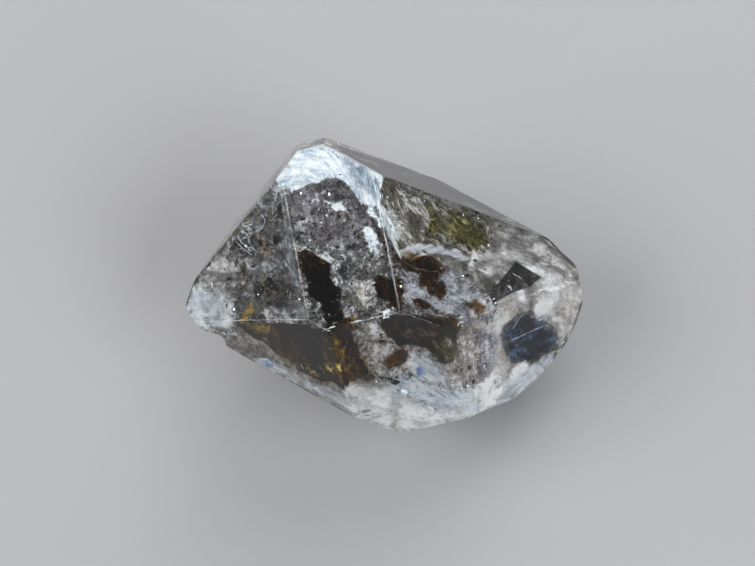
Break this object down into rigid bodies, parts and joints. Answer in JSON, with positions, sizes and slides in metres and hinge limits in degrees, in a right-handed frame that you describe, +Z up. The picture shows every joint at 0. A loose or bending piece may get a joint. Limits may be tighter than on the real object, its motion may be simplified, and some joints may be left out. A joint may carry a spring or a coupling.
{
  "type": "petroleum quartz crystal",
  "caption": "Clear doubly terminated quartz crystal with yellow-brown petroleum, dark bitumen and silvery healed cracks sealed inside, resting on a prism face.",
  "frame": {"origin": "middle of the bounding box at its underside, the plane of the prism face that it rests on", "axes": "+X along the crystal's long (c) axis towards the right end of the picture, +Z up, square to the prism face that it rests on"},
  "size_m": [0.0138, 0.0102, 0.0081],
  "materials": {
    "clear_quartz": "see-through natural quartz with bright growth faces, lightly worn edges and rough breaks at the left tip"
  },
  "bodies": {
    "root": {"crystal": "clear_quartz"}
  },
  "joints": []
}
